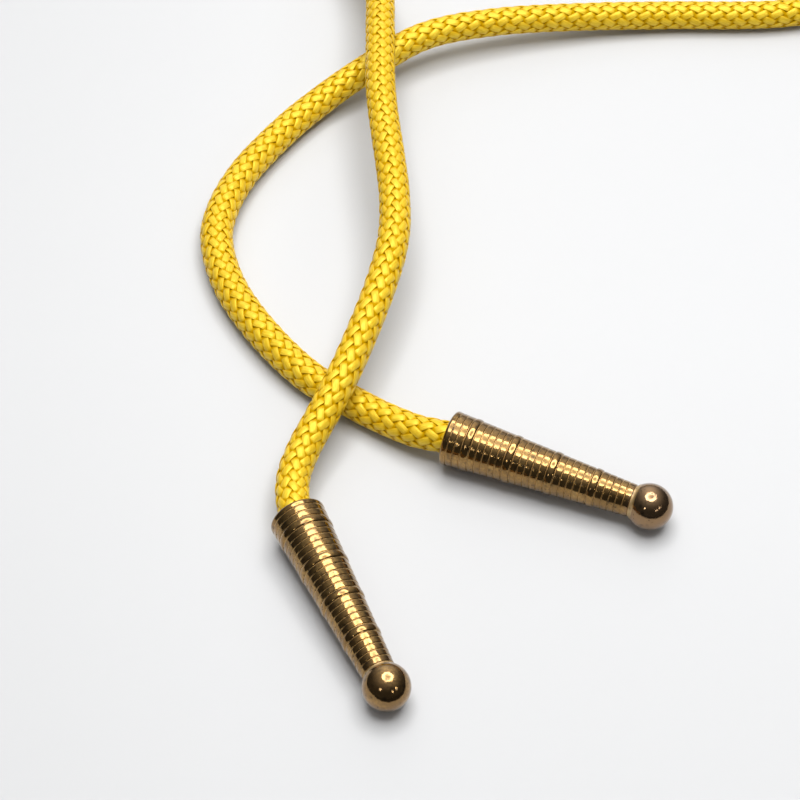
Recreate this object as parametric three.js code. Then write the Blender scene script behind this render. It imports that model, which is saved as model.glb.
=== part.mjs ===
import * as THREE from 'three';

// A braided cord with a turned brass tip on each end, lying crossed over itself on a table.
// Millimetres, +Z up. The origin is on the table, under the middle of the two tips.

// The cord
const cordDiameter = 4.8;
const cordSides = 12;
const cordSteps = 80;

// A tip: barrel and ball turned in one, with a blind bore for the cord in its wide end.
// Places along a tip are measured from its mouth.
const mouthDiameter = 8.5;
const neckDiameter = 5.0;
const ballDiameter = 7.0;
const ballPlace = 32.0;
const boreDiameter = 5.4;
const boreDepth = 8.3;
const boreChamfer = 0.35;
const lipRadius = 0.5;
const tipSides = 16;

// The barrel's turned rings: plain bands between fine grooves, with a proud bead between runs of bands
const bandsInRun = [3, 5, 5, 5, 5];
const bandWidth = 1.05;
const beadWidth = 1.3;
const beadRise = 0.12;
const grooveDepth = 0.14;
const grooveHalfWidth = 0.13;

// Where the tips' mouths are on the table, and which way the tips point from there
const tipPlaces = {
  tip_left: { x: -25.83, y: 6.95, heading: -65.6 },
  tip_right: { x: -3.4, y: 21.95, heading: -23.1 },
};

// The cord's middle line, from inside the left tip to inside the right one: x, y and height
const cordRoute = [
  // out of the left tip, and up over the other strand
  [-22.4, -0.4, 4.1], [-25.8, 6.9, 4.3], [-26.6, 10.9, 4.3], [-26.45, 14.6, 4.5], [-25.1, 19.0, 5.1],
  [-22.2, 25.2, 6.3], [-19.1, 32.1, 7.7], [-16.3, 40.0, 8.6], [-13.7, 48.5, 9.5], [-11.8, 57.5, 10.2],
  [-11.6, 66.3, 10.5],
  // over the other strand again, and down to the table
  [-13.9, 90.7, 11.2], [-14.1, 106.7, 10.9], [-14.6, 119.4, 9.4], [-19.5, 136.0, 6.4],
  // the neck loop, flat on the table
  [-28.5, 154.0, 3.6], [-37.0, 176.0, 2.5], [-37.5, 200.0, 2.45], [-24.0, 220.5, 2.45], [3.0, 231.0, 2.45],
  [36.0, 231.5, 2.45], [66.0, 222.5, 2.45], [82.0, 200.0, 2.45], [84.5, 172.0, 2.45], [83.0, 146.0, 2.45],
  // back, in a low hump under the first strand
  [76.5, 128.0, 2.45], [60.0, 120.9, 2.5], [36.0, 119.8, 2.6], [23.9, 118.7, 3.3], [5.1, 115.1, 5.0],
  [-6.8, 110.7, 5.6], [-17.2, 103.1, 4.4], [-24.3, 97.2, 3.0], [-29.7, 91.2, 2.5], [-36.7, 80.3, 2.45],
  [-39.9, 71.6, 2.45],
  // round the left bend, under the first strand again, and into the right tip
  [-40.5, 64.9, 2.45], [-38.0, 55.0, 2.45], [-32.2, 44.6, 2.45], [-24.5, 35.3, 2.45], [-18.1, 30.5, 2.45],
  [-13.8, 27.5, 2.6], [-8.2, 24.0, 3.3], [-3.3, 21.9, 4.2], [4.1, 18.7, 4.1],
];

const mouthRadius = mouthDiameter / 2;
const neckRadius = neckDiameter / 2;
const ballRadius = ballDiameter / 2;
const boreRadius = boreDiameter / 2;
const bandCount = bandsInRun.reduce((sum, count) => sum + count, 0);
const barrelLength = bandCount * bandWidth + (bandsInRun.length - 1) * beadWidth;

// A tip rests on its lip and its ball, so its axis drops towards the ball
const drop = Math.asin((mouthRadius - ballRadius) / (ballPlace - lipRadius));
const mouthHeight = ballRadius + ballPlace * Math.sin(drop);

const brass = new THREE.MeshStandardMaterial({ color: 0xa9854c, roughness: 0.3, metalness: 1 });
const yellowBraid = new THREE.MeshStandardMaterial({ color: 0xf0c419, roughness: 0.6, metalness: 0 });

function barrelRadiusAt(place) {
  return mouthRadius + (neckRadius - mouthRadius) * (place / barrelLength);
}

// The bore, from its end on the axis out to the mouth's flat rim
function borePoints() {
  return [
    new THREE.Vector2(0, boreDepth),
    new THREE.Vector2(boreRadius, boreDepth),
    new THREE.Vector2(boreRadius, boreChamfer),
    new THREE.Vector2(boreRadius + boreChamfer, 0),
    new THREE.Vector2(mouthRadius - lipRadius, 0),
    new THREE.Vector2(mouthRadius - lipRadius * (1 - Math.SQRT1_2), lipRadius * (1 - Math.SQRT1_2)),
    new THREE.Vector2(mouthRadius, lipRadius),
  ];
}

function bandPoints(start, isFirst) {
  const end = start + bandWidth;
  const land = [
    new THREE.Vector2(barrelRadiusAt(end), end - grooveHalfWidth),
    new THREE.Vector2(barrelRadiusAt(end) - grooveDepth, end),
  ];
  if (!isFirst) {
    land.unshift(new THREE.Vector2(barrelRadiusAt(start), start + grooveHalfWidth));
  }
  return land;
}

function beadPoints(start) {
  const radius = barrelRadiusAt(start + beadWidth / 2);
  const end = start + beadWidth;
  return [
    new THREE.Vector2(radius, start + grooveHalfWidth),
    new THREE.Vector2(radius + beadRise, start + beadWidth * 0.35),
    new THREE.Vector2(radius + beadRise, start + beadWidth * 0.65),
    new THREE.Vector2(radius, end - grooveHalfWidth),
    new THREE.Vector2(barrelRadiusAt(end) - grooveDepth, end),
  ];
}

function barrelPoints() {
  const points = [];
  let place = 0;
  bandsInRun.forEach((count, run) => {
    if (run > 0) {
      points.push(...beadPoints(place));
      place += beadWidth;
    }
    for (let band = 0; band < count; band++) {
      points.push(...bandPoints(place, place === 0));
      place += bandWidth;
    }
  });
  return points;
}

// The ball, from where it grows out of the neck to its end on the axis, with a point at its widest
function ballPoints() {
  const stepsBeforeWidest = 3;
  const stepsAfterWidest = 5;
  const neckAngle = Math.acos(neckRadius / ballRadius);
  const points = [];
  for (let step = 0; step < stepsBeforeWidest; step++) {
    const angle = -neckAngle * (1 - step / stepsBeforeWidest);
    points.push(new THREE.Vector2(ballRadius * Math.cos(angle), ballPlace + ballRadius * Math.sin(angle)));
  }
  for (let step = 0; step < stepsAfterWidest; step++) {
    const angle = (Math.PI / 2) * (step / stepsAfterWidest);
    points.push(new THREE.Vector2(ballRadius * Math.cos(angle), ballPlace + ballRadius * Math.sin(angle)));
  }
  points.push(new THREE.Vector2(0, ballPlace + ballRadius));
  return points;
}

function makeTip(name, place) {
  const outline = [...borePoints(), ...barrelPoints(), ...ballPoints()];
  const mesh = new THREE.Mesh(new THREE.LatheGeometry(outline, tipSides), brass);
  mesh.name = name;
  mesh.rotation.set(0, drop, -Math.PI / 2);
  const seat = new THREE.Group();
  seat.position.set(place.x, place.y, mouthHeight);
  seat.rotation.z = THREE.MathUtils.degToRad(place.heading);
  seat.add(mesh);
  return seat;
}

function makeCord() {
  const route = new THREE.CatmullRomCurve3(cordRoute.map((point) => new THREE.Vector3(...point)));
  route.arcLengthDivisions = 1000;
  const corners = [];
  for (let side = 0; side < cordSides; side++) {
    const angle = (2 * Math.PI * side) / cordSides;
    corners.push(new THREE.Vector2(Math.cos(angle), Math.sin(angle)).multiplyScalar(cordDiameter / 2));
  }
  const section = new THREE.Shape(corners);
  const geometry = new THREE.ExtrudeGeometry(section, { steps: cordSteps, extrudePath: route });
  const mesh = new THREE.Mesh(geometry, yellowBraid);
  mesh.name = 'cord';
  return mesh;
}

const aiguillette = new THREE.Group();
aiguillette.add(makeCord());
for (const [name, place] of Object.entries(tipPlaces)) {
  aiguillette.add(makeTip(name, place));
}

export default aiguillette;
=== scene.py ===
import math

import bpy
import numpy as np
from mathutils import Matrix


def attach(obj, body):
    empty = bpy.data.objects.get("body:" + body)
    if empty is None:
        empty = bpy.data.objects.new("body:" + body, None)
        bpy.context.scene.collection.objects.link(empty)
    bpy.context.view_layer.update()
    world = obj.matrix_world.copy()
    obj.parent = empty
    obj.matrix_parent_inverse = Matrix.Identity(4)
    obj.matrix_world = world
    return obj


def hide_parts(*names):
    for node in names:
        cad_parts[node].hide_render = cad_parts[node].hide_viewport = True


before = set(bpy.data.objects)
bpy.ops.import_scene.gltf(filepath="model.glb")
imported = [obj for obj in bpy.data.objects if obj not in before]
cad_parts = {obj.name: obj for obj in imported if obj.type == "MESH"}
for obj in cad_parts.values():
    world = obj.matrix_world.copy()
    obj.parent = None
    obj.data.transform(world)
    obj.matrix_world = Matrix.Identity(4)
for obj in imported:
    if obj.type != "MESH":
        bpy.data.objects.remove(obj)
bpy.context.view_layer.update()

scene = bpy.context.scene
scene.view_settings.view_transform = "Standard"
random = np.random.default_rng(17)

# The camera

camera = {
    "place": (-0.01073, -0.20917, 0.28666),
    "elevation": 49.82,         # degrees that it looks down
    "lens": 109.18,             # millimetres, as the sensor's width
    "sensorWidth": 36,
    "clip": (0.01, 50),
}

lens = bpy.data.cameras.new("camera")
lens.lens, lens.sensor_width = camera["lens"], camera["sensorWidth"]
lens.clip_start, lens.clip_end = camera["clip"]
viewer = bpy.data.objects.new("camera", lens)
viewer.location = camera["place"]
viewer.rotation_euler = (math.radians(90 - camera["elevation"]), 0, 0)
scene.collection.objects.link(viewer)
scene.camera = viewer


# Meshes are written as grids of rings: each ring runs round a line, and the rings follow one another
# along it. A grid's "run" is its UV map, with centimetres along it as the second number.

runPerMetre = 100


def gridFaces(count, sides, first=0):
    index = first + np.arange(count * sides).reshape(count, sides)
    beside = np.roll(index, -1, axis=1)
    return np.stack([index[:-1], beside[:-1], beside[1:], index[1:]], -1).reshape(-1, 4)


def gridEnds(count, sides, first=0):
    # the two faces that close a grid's first ring and its last
    last = first + (count - 1) * sides
    return [np.arange(first + sides - 1, first - 1, -1), np.arange(last, last + sides)]


def gridUv(along, sides):
    # one (across, along) pair for each corner of each face of gridFaces
    across = np.arange(sides + 1) / sides
    alongLow, acrossLow = np.meshgrid(along[:-1], across[:-1], indexing="ij")
    alongHigh, acrossHigh = np.meshgrid(along[1:], across[1:], indexing="ij")
    corners = [(acrossLow, alongLow), (acrossHigh, alongLow), (acrossHigh, alongHigh), (acrossLow, alongHigh)]
    return np.stack([np.stack(c, -1) for c in corners], 2).reshape(-1, 2)


def makeMesh(name, points, faces, material, uv=None, values=None):
    # faces is a list of arrays, each with one number of corners to a face
    mesh = bpy.data.meshes.new(name)
    corners = np.concatenate([f.ravel() for f in faces])
    sizes = np.concatenate([np.full(len(f), f.shape[1]) for f in faces])
    mesh.vertices.add(len(points))
    mesh.vertices.foreach_set("co", np.asarray(points, np.float32).ravel())
    mesh.loops.add(len(corners))
    mesh.loops.foreach_set("vertex_index", corners.astype(np.int32))
    mesh.polygons.add(len(sizes))
    mesh.polygons.foreach_set("loop_start", (np.cumsum(sizes) - sizes).astype(np.int32))
    mesh.update(calc_edges=True)
    mesh.validate()
    mesh.shade_smooth()
    if uv is not None:
        layer = mesh.uv_layers.new(name="run")
        layer.data.foreach_set("uv", np.asarray(uv, np.float32).ravel())
    for title, value in (values or {}).items():
        attribute = mesh.attributes.new(title, "FLOAT", "POINT")
        attribute.data.foreach_set("value", np.asarray(value, np.float32))
    mesh.materials.append(material)
    piece = bpy.data.objects.new(name, mesh)
    scene.collection.objects.link(piece)
    return piece


# Shader nodes

def setInputs(tree, node, inputs):
    # a link where the value is another node's output, else the socket's own value
    for title, value in inputs.items():
        if isinstance(value, bpy.types.NodeSocket):
            tree.links.new(value, node.inputs[title])
        else:
            node.inputs[title].default_value = value


def addNode(tree, kind, inputs=None, **settings):
    node = tree.nodes.new(kind)
    for title, value in settings.items():
        setattr(node, title, value)
    setInputs(tree, node, inputs or {})
    return node


def mathOf(tree, operation, *values):
    return addNode(tree, "ShaderNodeMath", dict(enumerate(values)), operation=operation).outputs["Value"]


def rangeOf(tree, value, fromMin, fromMax, toMin, toMax, **settings):
    inputs = {"Value": value, "From Min": fromMin, "From Max": fromMax, "To Min": toMin, "To Max": toMax}
    return addNode(tree, "ShaderNodeMapRange", inputs, **settings).outputs["Result"]


def mixColour(tree, mask, first, second):
    node = addNode(tree, "ShaderNodeMix", {"Factor": mask}, data_type="RGBA")
    colours = [number for number, socket in enumerate(node.inputs) if socket.type == "RGBA"]
    setInputs(tree, node, dict(zip(colours, (first, second))))
    return [s for s in node.outputs if s.type == "RGBA"][0]


def bumpOf(tree, height, strength, distance):
    inputs = {"Strength": strength, "Distance": distance, "Height": height}
    return addNode(tree, "ShaderNodeBump", inputs).outputs["Normal"]


def attributeOf(tree, title):
    return addNode(tree, "ShaderNodeAttribute", attribute_name=title).outputs["Fac"]


def placeOf(tree):
    return addNode(tree, "ShaderNodeTexCoord").outputs["Object"]


def addGroup(name, inputs):
    group = bpy.data.node_groups.new(name, "ShaderNodeTree")
    for title, kind, value in inputs:
        socket = group.interface.new_socket(name=title, in_out="INPUT", socket_type=kind)
        if value is not None:
            socket.default_value = value
    group.interface.new_socket(name="Mask", in_out="OUTPUT", socket_type="NodeSocketFloat")
    return group, group.nodes.new("NodeGroupInput").outputs, group.nodes.new("NodeGroupOutput").inputs


def maskOf(tree, group, vector, inputs):
    return addNode(tree, "ShaderNodeGroup", {"Vector": vector, **inputs}, node_tree=group).outputs["Mask"]


def makeMottle():
    # soft patches: 0 in one, 1 in the other
    group, given, out = addGroup("mottle", [
        ("Vector", "NodeSocketVector", None),
        ("Scale", "NodeSocketFloat", 1.0),
        ("Detail", "NodeSocketFloat", 4.0),
        ("Low", "NodeSocketFloat", 0.4),
        ("High", "NodeSocketFloat", 0.6),
    ])
    noise = addNode(group, "ShaderNodeTexNoise", {
        "Vector": given["Vector"], "Scale": given["Scale"], "Detail": given["Detail"]})
    spread = rangeOf(group, noise.outputs["Fac"], given["Low"], given["High"], 0.0, 1.0)
    group.links.new(spread, out["Mask"])
    return group


def makeSpecks():
    # small uneven dots, some cells without one
    wobble, wobbleScale = 0.0006, 900.0
    group, given, out = addGroup("specks", [
        ("Vector", "NodeSocketVector", None),
        ("Scale", "NodeSocketFloat", 1.0),
        ("Size", "NodeSocketFloat", 0.2),
        ("Share", "NodeSocketFloat", 0.5),
    ])
    noise = addNode(group, "ShaderNodeTexNoise", {
        "Vector": given["Vector"], "Scale": wobbleScale, "Detail": 2.0})
    shift = addNode(group, "ShaderNodeVectorMath", {
        0: noise.outputs["Color"], 1: (wobble, wobble, wobble)}, operation="MULTIPLY")
    shifted = addNode(group, "ShaderNodeVectorMath", {
        0: given["Vector"], 1: shift.outputs["Vector"]}, operation="ADD")
    cells = addNode(group, "ShaderNodeTexVoronoi", {
        "Vector": shifted.outputs["Vector"], "Scale": given["Scale"]})
    dot = rangeOf(group, cells.outputs["Distance"], 0.0, given["Size"], 1.0, 0.0,
                  interpolation_type="SMOOTHSTEP")
    draw = addNode(group, "ShaderNodeSeparateColor", {"Color": cells.outputs["Color"]})
    kept = mathOf(group, "LESS_THAN", draw.outputs["Red"], given["Share"])
    group.links.new(mathOf(group, "MULTIPLY", dot, kept), out["Mask"])
    return group


def makeStreaks():
    # noise that is finer across a run than along it, or the other way
    group, given, out = addGroup("streaks", [
        ("Vector", "NodeSocketVector", None),
        ("Scale", "NodeSocketVector", (1.0, 1.0, 1.0)),
        ("Detail", "NodeSocketFloat", 3.0),
    ])
    stretched = addNode(group, "ShaderNodeMapping", {"Vector": given["Vector"], "Scale": given["Scale"]})
    noise = addNode(group, "ShaderNodeTexNoise", {
        "Vector": stretched.outputs["Vector"], "Scale": 1.0, "Detail": given["Detail"]})
    group.links.new(noise.outputs["Fac"], out["Mask"])
    return group


mottle = makeMottle()
specks = makeSpecks()
streaks = makeStreaks()


def newMaterial(name):
    material = bpy.data.materials.new(name)
    material.use_nodes = True
    tree = material.node_tree
    tree.nodes.clear()
    surface = tree.nodes.new("ShaderNodeBsdfPrincipled")
    out = tree.nodes.new("ShaderNodeOutputMaterial")
    tree.links.new(surface.outputs["BSDF"], out.inputs["Surface"])
    return material, tree, surface


# The cord's middle line

cord = {
    "diameter": 0.0048,
    "route": [
        # out of the left tip, and up over the other strand
        (-0.0224, -0.0004, 0.0041), (-0.0258, 0.0069, 0.0043), (-0.0266, 0.0109, 0.0043),
        (-0.02645, 0.0146, 0.0045), (-0.0251, 0.0190, 0.0051), (-0.0222, 0.0252, 0.0063),
        (-0.0191, 0.0321, 0.0077), (-0.0163, 0.0400, 0.0086), (-0.0137, 0.0485, 0.0095),
        (-0.0118, 0.0575, 0.0102), (-0.0116, 0.0663, 0.0105),
        # over the other strand again, and down to the table
        (-0.0139, 0.0907, 0.0112), (-0.0141, 0.1067, 0.0109), (-0.0146, 0.1194, 0.0094),
        (-0.0195, 0.1360, 0.0064),
        # the neck loop, flat on the table
        (-0.0285, 0.1540, 0.0036), (-0.0370, 0.1760, 0.0025), (-0.0375, 0.2000, 0.00245),
        (-0.0240, 0.2205, 0.00245), (0.0030, 0.2310, 0.00245), (0.0360, 0.2315, 0.00245),
        (0.0660, 0.2225, 0.00245), (0.0820, 0.2000, 0.00245), (0.0845, 0.1720, 0.00245),
        (0.0830, 0.1460, 0.00245),
        # back, in a low hump under the first strand
        (0.0765, 0.1280, 0.00245), (0.0600, 0.1209, 0.0025), (0.0360, 0.1198, 0.0026),
        (0.0239, 0.1187, 0.0033), (0.0051, 0.1151, 0.0050), (-0.0068, 0.1107, 0.0056),
        (-0.0172, 0.1031, 0.0044), (-0.0243, 0.0972, 0.0030), (-0.0297, 0.0912, 0.0025),
        (-0.0367, 0.0803, 0.00245), (-0.0399, 0.0716, 0.00245),
        # round the left bend, under the first strand again, and into the right tip
        (-0.0405, 0.0649, 0.00245), (-0.0380, 0.0550, 0.00245), (-0.0322, 0.0446, 0.00245),
        (-0.0245, 0.0353, 0.00245), (-0.0181, 0.0305, 0.00245), (-0.0138, 0.0275, 0.0026),
        (-0.0082, 0.0240, 0.0033), (-0.0033, 0.0219, 0.0042), (0.0041, 0.0187, 0.0041),
    ],
    "pointsPerSpan": 24,
    "step": 0.00025,            # metres between the places where its direction is known
    "girth": [                  # (metres along the cord, how much wider than round it lies)
        (0.000, 1.02), (0.012, 1.03), (0.062, 1.03), (0.074, 1.02), (0.116, 1.02), (0.200, 1.00),
        (0.450, 1.00), (0.465, 1.03), (0.480, 1.03), (0.495, 1.00), (0.520, 1.00), (0.545, 1.05),
        (0.560, 1.06), (0.575, 1.09), (0.600, 1.09), (0.615, 1.06), (0.635, 1.04), (0.644, 1.00),
    ],
    "height": 0.965,            # how much lower than round it lies
    "coreDiameter": 0.0036,
    "coreSides": 16,
    "coreStride": 4,            # steps of the middle line from one ring of the core to the next
}


def smoothLine(points, perSpan):
    # a centripetal curve through the points, as the CAD model's route has it
    known = [np.array(p, float) for p in points]
    line = []
    for i in range(len(known) - 1):
        p1, p2 = known[i], known[i + 1]
        p0 = known[i - 1] if i > 0 else 2 * p1 - p2
        p3 = known[i + 2] if i + 2 < len(known) else 2 * p2 - p1
        d0, d1, d2 = (float(np.dot(a - b, a - b)) ** 0.25 for a, b in ((p0, p1), (p1, p2), (p2, p3)))
        t1 = ((p1 - p0) / d0 - (p2 - p0) / (d0 + d1) + (p2 - p1) / d1) * d1
        t2 = ((p2 - p1) / d1 - (p3 - p1) / (d1 + d2) + (p3 - p2) / d2) * d1
        for k in range(perSpan):
            t = k / perSpan
            line.append(p1 * (2 * t**3 - 3 * t**2 + 1) + p2 * (3 * t**2 - 2 * t**3)
                        + t1 * (t**3 - 2 * t**2 + t) + t2 * (t**3 - t**2))
    line.append(known[-1])
    return np.array(line)


def evenLine(line, step):
    gone = np.concatenate([[0], np.cumsum(np.linalg.norm(np.diff(line, axis=0), axis=1))])
    wanted = np.linspace(0, gone[-1], int(gone[-1] / step) + 1)
    return wanted, np.stack([np.interp(wanted, gone, line[:, k]) for k in range(3)], 1)


def carriedFrames(line):
    # a pair of directions across the line at each of its points, that don't twist about it
    ahead = np.gradient(line, axis=0)
    ahead /= np.linalg.norm(ahead, axis=1)[:, None]
    first = np.zeros_like(line)
    side = np.cross(ahead[0], (0, 0, 1))
    first[0] = side / np.linalg.norm(side)
    for i in range(1, len(line)):
        turned = first[i - 1] - ahead[i] * float(first[i - 1] @ ahead[i])
        first[i] = turned / np.linalg.norm(turned)
    return first, np.cross(ahead, first)


cordPath = smoothLine(cord["route"], cord["pointsPerSpan"])
cordPlaces, cordLine = evenLine(cordPath, cord["step"])
cordLength = float(cordPlaces[-1])
cordFirst, cordSecond = carriedFrames(cordLine)
print(f"cord: {cordLength:.4f} m long")


def onCord(places, angle, radius):
    # points at these places along the cord, at an angle round it and a radius from its middle
    def read(table):
        return np.stack([np.interp(places, cordPlaces, table[:, k]) for k in range(3)], -1)
    across = read(cordFirst) * np.cos(angle)[..., None] + read(cordSecond) * np.sin(angle)[..., None]
    across /= np.linalg.norm(across, axis=-1)[..., None]
    wider = np.interp(places, *np.array(cord["girth"]).T)
    pressed = np.stack([wider, wider, np.full_like(wider, cord["height"])], -1)
    return read(cordLine) + across * pressed * np.asarray(radius)[..., None], across


# The cord's finish. A row of four numbers is a range: from, to, and what these two become.

cordFinish = {
    "bright": (0.90, 0.61, 0.042, 1),
    "deep": (0.70, 0.42, 0.004, 1),
    "tones": (0.40, 0.85, 0.0, 1.0),
    "uneven": {"Scale": 260.0, "Detail": 3.0, "Low": 0.2, "High": 0.8},
    "unevenShare": 0.3,
    # painted shade: a darker amber where a strand dives under the others and at its edges, by its rise
    "paintedShadeAmber": (0.59, 0.320, 0.0006, 1),  # at a strand's edges and where it dives under the others
    "paintedShadeByRise": (0.5, 0.85, 1.0, 0.0),
    "bounced": (0.45, 0.41, 0.30, 1),   # what the table sees of it
    "bouncedShare": 0.5,
    "gloss": (1.0, 0.84, 0.15, 1),
    "glossByRise": (0.5, 0.9, 0.03, 0.9),
    "roughness": 0.34,
    "roughnessSpread": 0.06,            # more in the filaments' dark parts, and less in their pale ones
    "spreadRange": (0.3, 0.7),
    "alongTheGrain": 0.7,
    "refraction": 1.75,
    "filaments": (18.0, 8.0, 1.0),      # filaments round a strand, and changes in a centimetre along it
    "filamentBump": (0.5, 0.00008),     # strength and depth
    # painted shade: the core is a darker amber than the strands, for the shaded gaps between them where it
    # shows
    "core": (0.55, 0.30, 0.001, 1),
    "coreUneven": {"Scale": 900.0, "Detail": 3.0, "Low": 0.35, "High": 0.65},
    "coreBump": (0.6, 0.0001),
    "coreRoughness": 0.7,
}


def makeStrandFinish():
    material, tree, surface = newMaterial("yellowFilament")
    run = addNode(tree, "ShaderNodeUVMap", uv_map="run").outputs["UV"]
    filaments = maskOf(tree, streaks, run, {"Scale": cordFinish["filaments"]})
    uneven = maskOf(tree, mottle, placeOf(tree), cordFinish["uneven"])
    tone = mathOf(tree, "MULTIPLY_ADD", uneven, cordFinish["unevenShare"], filaments)
    tone = rangeOf(tree, tone, *cordFinish["tones"])
    rise = attributeOf(tree, "rise")
    yellow = mixColour(tree, tone, cordFinish["deep"], cordFinish["bright"])
    # painted shade: darker amber where the strand dives and at its edges
    yellow = mixColour(tree, rangeOf(tree, rise, *cordFinish["paintedShadeByRise"]), yellow, cordFinish["paintedShadeAmber"])
    seenByTable = addNode(tree, "ShaderNodeLightPath").outputs["Is Diffuse Ray"]
    dimmed = mathOf(tree, "MULTIPLY", seenByTable, cordFinish["bouncedShare"])
    rougher = cordFinish["roughness"] + cordFinish["roughnessSpread"]
    smoother = cordFinish["roughness"] - cordFinish["roughnessSpread"]
    across = addNode(tree, "ShaderNodeTangent", direction_type="UV_MAP", uv_map="run")
    setInputs(tree, surface, {
        "Base Color": mixColour(tree, dimmed, yellow, cordFinish["bounced"]),
        "Specular IOR Level": rangeOf(tree, rise, *cordFinish["glossByRise"]),
        "Specular Tint": cordFinish["gloss"],
        "IOR": cordFinish["refraction"],
        "Roughness": rangeOf(tree, filaments, *cordFinish["spreadRange"], rougher, smoother),
        "Anisotropic": cordFinish["alongTheGrain"],
        "Tangent": across.outputs["Tangent"],
        "Normal": bumpOf(tree, filaments, *cordFinish["filamentBump"]),
    })
    return material


def makeCoreFinish():
    material, tree, surface = newMaterial("yellowCore")
    # painted shade: the core's darker amber stands for the shade in the gaps between the strands
    uneven = maskOf(tree, mottle, placeOf(tree), cordFinish["coreUneven"])
    setInputs(tree, surface, {
        "Base Color": mixColour(tree, uneven, cordFinish["core"], cordFinish["deep"]),
        "Roughness": cordFinish["coreRoughness"],
        "Normal": bumpOf(tree, uneven, *cordFinish["coreBump"]),
    })
    return material


# The braid: flat strands of filament that wind round the core both ways, each over two and under two
# of the others

braid = {
    "eachWay": 12,              # strands that wind each way
    "radius": 0.0025,           # to the strands' tops
    "width": 0.00123,
    "thickness": 0.00041,
    "camber": 0.8,              # how much of the cord's roundness a strand's section has
    "wave": 0.00025,            # how far a strand rises and dives
    "steepness": 1.5,           # how quickly it does
    "ringsPerStitch": 6,
    "meanStitch": 0.00245,
    "endGap": 0.0002,           # from the core's end to the strands' ends
    "stitch": [                 # (metres along the cord, metres from one stitch to the next)
        (0.000, 0.0021), (0.012, 0.0021), (0.022, 0.0024), (0.034, 0.0029), (0.050, 0.0028), (0.070, 0.0024),
        (0.110, 0.0023), (0.160, 0.0025), (0.440, 0.0026), (0.540, 0.0026), (0.580, 0.0024), (0.644, 0.0025),
    ],
    "strandsPerPiece": 6,
    "slips": {                  # rings from one slip of a strand to the next, and their usual size
        "angle": (9, 0.012),
        "radius": (5, 0.000012),
        "width": (7, 0.03),     # as a share of the width
    },
}

# across and outward, as shares of half the width and half the thickness
strandSection = np.array([
    (-1.0, 0.0), (0.0, -0.8), (1.0, 0.0), (0.99, 0.62),
    (0.84, 0.97), (0.0, 1.0), (-0.84, 0.97), (-0.99, 0.62),
])
# the highest rise that each of them counts as, so that a strand's edges get the painted shade
strandCrest = np.array([-1.0, -1.0, -1.0, 0.4, 0.95, 1.0, 0.95, 0.4])


def windingAngle(places):
    # the angle that a strand has wound by each place
    knownPlaces, stitches = np.array(braid["stitch"]).T
    rate = (2 * math.pi / braid["eachWay"]) / np.interp(cordPlaces, knownPlaces, stitches)
    wound = np.concatenate([[0], np.cumsum((rate[1:] + rate[:-1]) / 2 * np.diff(cordPlaces))])
    return np.interp(places, cordPlaces, wound)


def slip(count, kind):
    every, size = braid["slips"][kind]
    knots = random.normal(0, size, int(count / every) + 3)
    return np.interp(np.arange(count) / every, np.arange(len(knots)), knots)


def makeStrand(hand, number, places, wound):
    count = len(places)
    angle = hand * wound + 2 * math.pi * number / braid["eachWay"] + slip(count, "angle")
    # it meets one of the others at each whole column: two that it goes over, then two that it goes under
    column = angle * braid["eachWay"] / math.pi
    swing = hand * np.cos(math.pi * (column - 0.5) / 2)
    lift = np.tanh(braid["steepness"] * swing) / np.tanh(braid["steepness"])
    outer = braid["radius"] - braid["thickness"] / 2
    radius = outer - braid["wave"] + braid["wave"] * lift + slip(count, "radius")
    middle, outward = onCord(places, angle, radius)
    ahead = np.gradient(middle, axis=0)
    ahead /= np.linalg.norm(ahead, axis=1)[:, None]
    outward -= ahead * np.sum(outward * ahead, axis=1)[:, None]
    outward /= np.linalg.norm(outward, axis=1)[:, None]
    side = np.cross(outward, ahead)
    width = braid["width"] / 2 * (1 + slip(count, "width"))
    across = strandSection[:, 0][None, :] * width[:, None]
    sag = across**2 / (2 * radius[:, None]) * braid["camber"]
    rise = strandSection[:, 1][None, :] * braid["thickness"] / 2 - sag
    rings = middle[:, None] + side[:, None] * across[..., None] + outward[:, None] * rise[..., None]
    return rings, np.minimum(lift[:, None], strandCrest[None, :]).ravel()


def makeBraidPiece(name, strands, places, material):
    wound = windingAngle(places)
    count, sides = len(places), len(strandSection)
    points, quads, ends, uvs, rises = [], [], [], [], []
    for hand, number in strands:
        first = len(points) * count * sides
        rings, lift = makeStrand(hand, number, places, wound)
        points.append(rings.reshape(-1, 3))
        rises.append(lift)
        quads.append(gridFaces(count, sides, first))
        ends += gridEnds(count, sides, first)
        ownShift = 7.3 * number + 3.1 * hand        # so that no two strands have the same filaments
        uvs.append(gridUv(places * runPerMetre + ownShift, sides))
    uvs.append(np.zeros((len(ends) * sides, 2)))
    return makeMesh(name, np.concatenate(points), [np.concatenate(quads), np.array(ends)], material,
                    uv=np.concatenate(uvs), values={"rise": np.concatenate(rises)})


def makeCore(material):
    sides, places = cord["coreSides"], cordPlaces[::cord["coreStride"]]
    places = np.append(places, cordLength) if places[-1] < cordLength else places
    angles = np.arange(sides) * 2 * math.pi / sides
    grid, _ = onCord(np.repeat(places[:, None], sides, 1), np.repeat(angles[None, :], len(places), 0),
                     np.full((len(places), sides), cord["coreDiameter"] / 2))
    faces = [gridFaces(len(places), sides), np.array(gridEnds(len(places), sides))]
    return makeMesh("cordCore", grid.reshape(-1, 3), faces, material)


core = makeCore(makeCoreFinish())
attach(core, "root")
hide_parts("cord")

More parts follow.
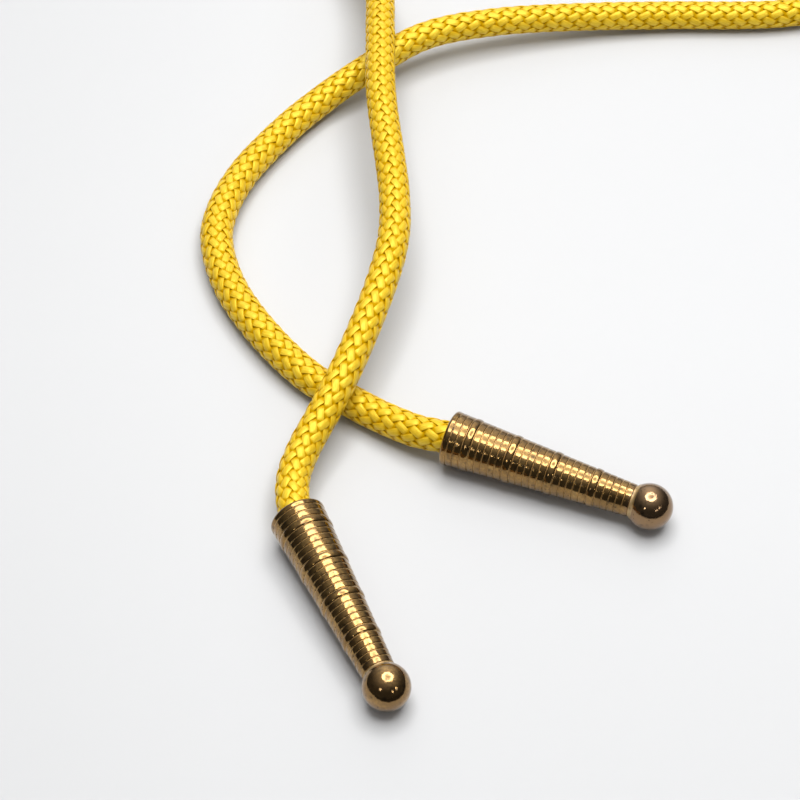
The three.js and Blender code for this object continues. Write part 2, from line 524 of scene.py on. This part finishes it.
strandFinish = makeStrandFinish()
ringCount = int(cordLength / braid["meanStitch"] * braid["ringsPerStitch"])
ringPlaces = np.linspace(braid["endGap"], cordLength - braid["endGap"], ringCount)
allStrands = [(hand, number) for hand in (1, -1) for number in range(braid["eachWay"])]
for start in range(0, len(allStrands), braid["strandsPerPiece"]):
    strands = allStrands[start:start + braid["strandsPerPiece"]]
    hand, number = strands[0]
    title = ("rightHand" if hand > 0 else "leftHand") + ("Strands1" if number == 0 else "Strands2")
    piece = makeBraidPiece(title, strands, ringPlaces, strandFinish)
    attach(piece, "root")


# The tips

tip = {
    "mouthDiameter": 0.0085,
    "neckDiameter": 0.0050,
    "ballDiameter": 0.0070,
    "ballPlace": 0.0320,        # from the mouth, as all places along a tip
    "ballFillet": 0.10,         # radians of the ball that run into the neck
    "ballGrime": 0.12,          # radians of the ball that are grimy beside it
    "ballTarnish": {"tip_left": 0.25, "tip_right": 0.8},
    "ballTone": 0.3,            # as a band's tone
    "boreDiameter": 0.0054,
    "boreDepth": 0.0083,
    "lipRadius": 0.0005,
    "bandsInRun": [3, 5, 5, 5, 5],
    "bandWidth": 0.00105,
    "bandCrown": 0.000018,      # how far a band's sides lie under its middle
    "beadWidth": 0.0013,
    "beadRise": 0.00012,
    "grooveDepth": 0.00014,
    "grooveHalfWidth": 0.00013,
    "sides": 96,
    "places": {                 # of the mouth, and degrees that the tip points from +X
        "tip_left": ((-0.02583, 0.00695), -65.6),
        "tip_right": ((-0.00340, 0.02195), -23.1),
    },
}

barrelLength = sum(tip["bandsInRun"]) * tip["bandWidth"] + (len(tip["bandsInRun"]) - 1) * tip["beadWidth"]

brassFinish = {
    "polished": (0.46, 0.275, 0.078, 1),
    "aged": (0.32, 0.172, 0.040, 1),
    "dull": (0.20, 0.112, 0.032, 1),
    "tarnished": (0.27, 0.165, 0.085, 1),
    "dust": (0.62, 0.44, 0.21, 1),
    "pit": (0.05, 0.028, 0.010, 1),
    "agedPatches": {"Scale": 420.0, "Detail": 5.0, "Low": 0.38, "High": 0.66},
    "dullPatches": {"Scale": 380.0, "Detail": 7.0, "Low": 0.46, "High": 0.64},
    "grain": {"Scale": 2600.0, "Detail": 4.0, "Low": 0.42, "High": 0.62},
    "pits": {"Scale": 1900.0, "Size": 0.38, "Share": 0.38},
    "stains": {"Scale": 1100.0, "Size": 0.52, "Share": 0.4},
    "turningMarks": (6.0, 260.0, 1.0),  # round a tip, and in a centimetre along it
    "marksShare": 0.5,
    "dullByBand": (0.3, 1.0, 0.0, 0.55),
    "dullByPatch": (0.0, 1.0, 0.0, 0.65),
    "dullByGrain": (0.0, 1.0, 0.7, 0.0),
    "dustByCrevice": (0.1, 0.8, 0.0, 0.85),
    "darkByStain": (0.0, 1.0, 0.0, 0.75),
    "roughness": 0.065,
    "dullRoughness": 0.09,              # more, in full
    "grainRoughness": -0.05,
    "creviceRoughness": 0.45,
    "pitRoughness": 0.3,
    "bump": (0.4, 0.00001),             # strength and depth
    "lacquer": 0.5,
    "lacquerRefraction": 1.5,
    "lacquerRoughness": (0.02, 0.10),   # on clean brass and on dull brass
}


def barrelRadius(at):
    return (tip["mouthDiameter"] + (tip["neckDiameter"] - tip["mouthDiameter"]) * at / barrelLength) / 2


# Outlines are lists of (place, radius, how deep in a groove or how grimy the point is)

def boreOutline():
    # from the end of the bore, on the axis, round the lip
    mouth, bore, lip = tip["mouthDiameter"] / 2, tip["boreDiameter"] / 2, tip["lipRadius"]
    outline = [(tip["boreDepth"], bore * share, 1.0) for share in (0.02, 0.5, 0.96)]
    outline += [
        (tip["boreDepth"] - 0.0001, bore, 1.0),
        (0.005, bore, 1.0),
        (0.0015, bore, 0.8),
        (0.0004, bore, 0.5),
        (0.00012, bore + 0.0001, 0.2),
        (0.0, bore + 0.00035, 0.1),
        (0.0, (bore + mouth - lip) / 2, 0.1),
    ]
    for turn in np.linspace(0, math.pi / 2, 9):
        outline.append((lip * (1 - math.cos(turn)), mouth - lip + lip * math.sin(turn), 0.0))
    return outline


def barrelSeams():
    # where each groove is, and where each bead starts and ends
    grooves, beads, at = [], [], 0.0
    for run, count in enumerate(tip["bandsInRun"]):
        if run > 0:
            beads.append((at, at + tip["beadWidth"]))
            at += tip["beadWidth"]
            grooves.append(at)
        for _ in range(count):
            at += tip["bandWidth"]
            grooves.append(at)
    return grooves, beads


def barrelStops(grooves, beads):
    # the places that get a ring, as shares of a groove's half width, a bead and a band
    half = tip["grooveHalfWidth"]
    inGroove = (-1.3, -1, -0.8, -0.6, -0.4, -0.2, 0, 0.2, 0.4, 0.6, 0.8, 1, 1.3)
    onBead = np.linspace(0.12, 0.88, 11)
    onBand = (0.2, 0.28, 0.38, 0.5, 0.62, 0.72, 0.8)
    bands = zip(grooves[:-1], grooves[1:])
    stops = [tip["lipRadius"] + 0.00015]
    stops += [groove + half * share for groove in grooves for share in inGroove]
    stops += [start + (end - start) * share for start, end in beads for share in onBead]
    stops += [start + (end - start) * share for start, end in bands for share in onBand]
    stops = sorted({round(stop, 7) for stop in stops})
    return [stop for stop in stops if stop < barrelLength + half * 0.2]


def barrelOutline(grooves, beads):
    half = tip["grooveHalfWidth"]
    outline = []
    for at in barrelStops(grooves, beads):
        nearest = min(abs(at - groove) for groove in grooves)
        depth = 0.5 + 0.5 * math.cos(math.pi * nearest / half) if nearest < half else 0.0
        crown = tip["bandCrown"] * max(0.0, 1 - nearest / (tip["bandWidth"] / 2)) ** 4
        crest = 0.0
        for start, end in beads:
            across = (at - (start + end) / 2) / ((end - start) / 2 - half)
            if abs(across) < 1:
                crest = math.sqrt(1 - across**2)
        radius = barrelRadius(at) - tip["grooveDepth"] * depth + tip["beadRise"] * crest - crown
        outline.append((at, radius, depth))
    return outline


def ballOutline():
    ball = tip["ballDiameter"] / 2
    start = math.acos(tip["neckDiameter"] / tip["ballDiameter"]) - tip["ballFillet"]
    outline = []
    for turn in np.linspace(-start, math.pi / 2 - 0.01, 40):
        grime = max(0.0, 1 - (turn + start) / tip["ballGrime"])
        outline.append((tip["ballPlace"] + ball * math.sin(turn), ball * math.cos(turn), grime))
    return outline


def makeTip(name, material):
    (x, y), heading = tip["places"][name]
    heading = math.radians(heading)
    mouth, ball, sides = tip["mouthDiameter"] / 2, tip["ballDiameter"] / 2, tip["sides"]
    drop = math.asin((mouth - ball) / (tip["ballPlace"] - tip["lipRadius"]))    # it rests on lip and ball
    start = np.array([x, y, ball + tip["ballPlace"] * math.sin(drop)])
    level = np.array([math.cos(heading), math.sin(heading), 0.0])
    plumb = np.array([0.0, 0.0, 1.0])
    ahead = level * math.cos(drop) - plumb * math.sin(drop)
    up = level * math.sin(drop) + plumb * math.cos(drop)
    turn = math.pi + np.arange(sides) * 2 * math.pi / sides
    ring = up * np.cos(turn)[:, None] + np.cross(ahead, up) * np.sin(turn)[:, None]

    grooves, beads = barrelSeams()
    outline = boreOutline() + barrelOutline(grooves, beads) + ballOutline()
    places, radii, crevice = np.array(outline).T
    points = start + places[:, None, None] * ahead + radii[:, None, None] * ring
    faces = [gridFaces(len(outline), sides), np.array(gridEnds(len(outline), sides))]
    uv = np.concatenate([gridUv(places * runPerMetre, sides), np.zeros((2 * sides, 2))])
    bandTones = np.append(random.uniform(0, 1, len(grooves)), tip["ballTone"])
    onBall = np.clip((places - tip["ballPlace"] + ball) / 0.001, 0, 1)
    values = {
        "crevice": crevice,
        "bandTone": bandTones[np.searchsorted(grooves, places)],
        "tarnish": onBall * tip["ballTarnish"][name],
    }
    return makeMesh(name + "_turned", points.reshape(-1, 3), faces, material, uv=uv,
                    values={title: np.repeat(value, sides) for title, value in values.items()})


def makeBrass():
    material, tree, surface = newMaterial("agedBrass")
    here = placeOf(tree)
    aged = maskOf(tree, mottle, here, brassFinish["agedPatches"])
    dull = maskOf(tree, mottle, here, brassFinish["dullPatches"])
    grain = maskOf(tree, mottle, here, brassFinish["grain"])
    pits = maskOf(tree, specks, here, brassFinish["pits"])
    stains = maskOf(tree, specks, here, brassFinish["stains"])
    run = addNode(tree, "ShaderNodeUVMap", uv_map="run").outputs["UV"]
    marks = maskOf(tree, streaks, run, {"Scale": brassFinish["turningMarks"]})
    crevice = attributeOf(tree, "crevice")

    metal = mixColour(tree, aged, brassFinish["aged"], brassFinish["polished"])
    for mask, colour in (
        (rangeOf(tree, attributeOf(tree, "bandTone"), *brassFinish["dullByBand"]), "dull"),
        (rangeOf(tree, dull, *brassFinish["dullByPatch"]), "dull"),
        (rangeOf(tree, grain, *brassFinish["dullByGrain"]), "dull"),
        (attributeOf(tree, "tarnish"), "tarnished"),
        (rangeOf(tree, crevice, *brassFinish["dustByCrevice"]), "dust"),
        (rangeOf(tree, stains, *brassFinish["darkByStain"]), "pit"),
        (pits, "pit"),
    ):
        metal = mixColour(tree, mask, metal, brassFinish[colour])

    smooth = brassFinish["roughness"]
    rough = rangeOf(tree, dull, 0.0, 1.0, smooth, smooth + brassFinish["dullRoughness"])
    for mask, kind in ((grain, "grainRoughness"), (crevice, "creviceRoughness"), (pits, "pitRoughness")):
        rough = mathOf(tree, "MULTIPLY_ADD", mask, brassFinish[kind], rough)
    height = mathOf(tree, "MULTIPLY_ADD", marks, brassFinish["marksShare"], grain)
    normal = bumpOf(tree, mathOf(tree, "SUBTRACT", height, pits), *brassFinish["bump"])
    setInputs(tree, surface, {
        "Base Color": metal,
        "Metallic": 1.0,
        "Roughness": rough,
        "Normal": normal,
        "Coat Weight": brassFinish["lacquer"],
        "Coat IOR": brassFinish["lacquerRefraction"],
        "Coat Roughness": rangeOf(tree, dull, 0.0, 1.0, *brassFinish["lacquerRoughness"]),
        "Coat Normal": normal,
    })
    return material


brass = makeBrass()
for name in ("tip_left", "tip_right"):
    turned = makeTip(name, brass)
    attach(turned, "root")
    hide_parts(name)
print("tips: two turned brass tips")


# The table, the light and the dark room

studio = {
    "paper": (0.627, 0.63, 0.637, 1),
    # painted shade: the paper is drawn darker towards the front and the left, as the light falls off there
    "paperInPaintedShade": (0.557, 0.56, 0.565, 1),
    "paintedShadeToFront": (-0.045, 0.045, 0.5, 0.0),       # where the first goes over into the second, and how far
    "paintedShadeToLeft": (-0.085, -0.035, 0.4, 0.0),
    "smudges": {"Scale": 9.0, "Detail": 3.0, "Low": 0.3, "High": 0.7},
    "smudgeShare": 0.06,
    "paperRoughness": 0.5,
    "paperRefraction": 1.3,
    # painted reflection: outside the sheet the table is dark only to reflections and bounced light; the
    # camera sees pale paper there
    "dark": (0.035, 0.035, 0.035, 1),
    "tableHalf": 4.0,
    "sheetLeft": -0.072,        # the white sheet that the tips mirror; the table is dark round it
    "sheetRight": 0.085,
    "sheetFront": -0.033,
    "sheetSlant": 0.45,         # how far back its front edge runs for each metre to the right
    "sheetBlur": 0.002,
    "softboxPlace": (0.045, 0.118, 0.56),
    "softboxWidth": 0.50,
    "softboxPower": 3.52,
    "softboxCorners": 0.707,    # width and depth from the middle, added up, where it ends
    "softboxMiddle": (0.02, 0.12, 0.25, 1.65),      # from dim to bright, by the square of the way out
    "lamps": [(-0.458, -0.646, 0.610), (0.462, -0.752, 0.470), (0.702, -0.484, 0.522)],
    "lampDistance": 1.2,
    "lampRadius": 0.06,
    "lampPower": 1.5,
    "roomBase": 0.075,
    "spill": ((0.04, 0.26, 0.965), 0.95, 3.5),      # round the softbox: direction, strength and sharpness
    "backSpill": ((0.0, 0.87, 0.50), 1.0, 8.0),     # and behind the table
    "backdrop": 0.85,           # what the camera sees past the table
}


def makeFloor():
    material, tree, surface = newMaterial("paleTable")
    here = placeOf(tree)
    split = addNode(tree, "ShaderNodeSeparateXYZ", {"Vector": here}).outputs
    x, y = split["X"], split["Y"]
    # painted shade: darker paper towards the front and the left, with real smudges added on top
    toFront, toLeft = rangeOf(tree, y, *studio["paintedShadeToFront"]), rangeOf(tree, x, *studio["paintedShadeToLeft"])
    paintedShadeAndSmudge = mathOf(tree, "ADD", toFront, toLeft)
    smudge = maskOf(tree, mottle, here, studio["smudges"])
    paintedShadeAndSmudge = mathOf(tree, "MULTIPLY_ADD", smudge, studio["smudgeShare"], paintedShadeAndSmudge)
    setInputs(tree, surface, {
        "Base Color": mixColour(tree, paintedShadeAndSmudge, studio["paper"], studio["paperInPaintedShade"]),
        "Roughness": studio["paperRoughness"],
        "IOR": studio["paperRefraction"],
    })

    left, right, front = studio["sheetLeft"], studio["sheetRight"], studio["sheetFront"]
    blur = studio["sheetBlur"]
    slanted = mathOf(tree, "MULTIPLY_ADD", x, -studio["sheetSlant"], y)
    sheet = mathOf(tree, "MULTIPLY", rangeOf(tree, x, left - blur, left, 0, 1),
                   rangeOf(tree, x, right, right + blur, 1, 0))
    sheet = mathOf(tree, "MULTIPLY", sheet, rangeOf(tree, slanted, front - blur, front, 0, 1))
    # painted reflection: outside the sheet the table is dark to reflections and bounced light, and pale to
    # the camera
    seen = addNode(tree, "ShaderNodeLightPath").outputs["Is Camera Ray"]
    pale = mathOf(tree, "MAXIMUM", sheet, seen)
    dark = addNode(tree, "ShaderNodeBsdfDiffuse", {"Color": studio["dark"]})
    either = addNode(tree, "ShaderNodeMixShader", {
        "Fac": pale, 1: dark.outputs["BSDF"], 2: surface.outputs["BSDF"]})
    out = [n for n in tree.nodes if n.type == "OUTPUT_MATERIAL"][0]
    tree.links.new(either.outputs["Shader"], out.inputs["Surface"])
    half = studio["tableHalf"]
    points = np.array([(-half, -half, 0), (half, -half, 0), (half, half, 0), (-half, half, 0)])
    return makeMesh("table", points, [np.array([[0, 1, 2, 3]])], material)


def makeSoftbox():
    # an octagon, dimmer in its middle
    light = bpy.data.lights.new("softbox", "AREA")
    light.shape, light.size, light.energy = "SQUARE", studio["softboxWidth"], studio["softboxPower"]
    light.use_nodes = True
    tree = light.node_tree
    emission = [n for n in tree.nodes if n.type == "EMISSION"][0]
    onLight = addNode(tree, "ShaderNodeNewGeometry").outputs["Parametric"]
    split = addNode(tree, "ShaderNodeSeparateXYZ", {"Vector": onLight}).outputs
    u, v = (mathOf(tree, "ABSOLUTE", mathOf(tree, "SUBTRACT", split[axis], 0.5)) for axis in ("X", "Y"))
    inside = mathOf(tree, "LESS_THAN", mathOf(tree, "ADD", u, v), studio["softboxCorners"])
    squared = mathOf(tree, "ADD", mathOf(tree, "MULTIPLY", u, u), mathOf(tree, "MULTIPLY", v, v))
    glow = rangeOf(tree, squared, *studio["softboxMiddle"])
    setInputs(tree, emission, {"Strength": mathOf(tree, "MULTIPLY", inside, glow)})
    softbox = bpy.data.objects.new("softbox", light)
    softbox.location = studio["softboxPlace"]
    x, y, z = studio["softboxPlace"]
    softbox.rotation_euler = (-math.atan2(y, z), math.atan2(x, math.hypot(y, z)), 0)
    softbox.visible_camera = False
    scene.collection.objects.link(softbox)


def makeLamps():
    for number, direction in enumerate(studio["lamps"]):
        light = bpy.data.lights.new(f"lamp{number}", "POINT")
        light.energy, light.shadow_soft_size = studio["lampPower"], studio["lampRadius"]
        lamp = bpy.data.objects.new(f"lamp{number}", light)
        lamp.location = np.array(direction) * studio["lampDistance"]
        scene.collection.objects.link(lamp)


def makeRoom():
    world = bpy.data.worlds.new("room")
    scene.world = world
    world.use_nodes = True
    tree = world.node_tree
    background = [n for n in tree.nodes if n.type == "BACKGROUND"][0]
    ray = addNode(tree, "ShaderNodeLightPath")
    here = addNode(tree, "ShaderNodeTexCoord").outputs["Generated"]
    total = studio["roomBase"]
    for direction, strength, sharpness in (studio["spill"], studio["backSpill"]):
        towards = addNode(tree, "ShaderNodeVectorMath", {0: here, 1: direction}, operation="DOT_PRODUCT")
        facing = mathOf(tree, "MAXIMUM", towards.outputs["Value"], 0.0)
        lobe = mathOf(tree, "POWER", facing, sharpness)
        total = mathOf(tree, "MULTIPLY_ADD", lobe, strength, total)
    seen = addNode(tree, "ShaderNodeMix", {
        "Factor": ray.outputs["Is Camera Ray"], "A": total, "B": studio["backdrop"]})
    setInputs(tree, background, {"Color": (1, 1, 1, 1), "Strength": seen.outputs["Result"]})


makeFloor()
makeSoftbox()
makeLamps()
makeRoom()
print("studio: table, softbox, lamps and room")
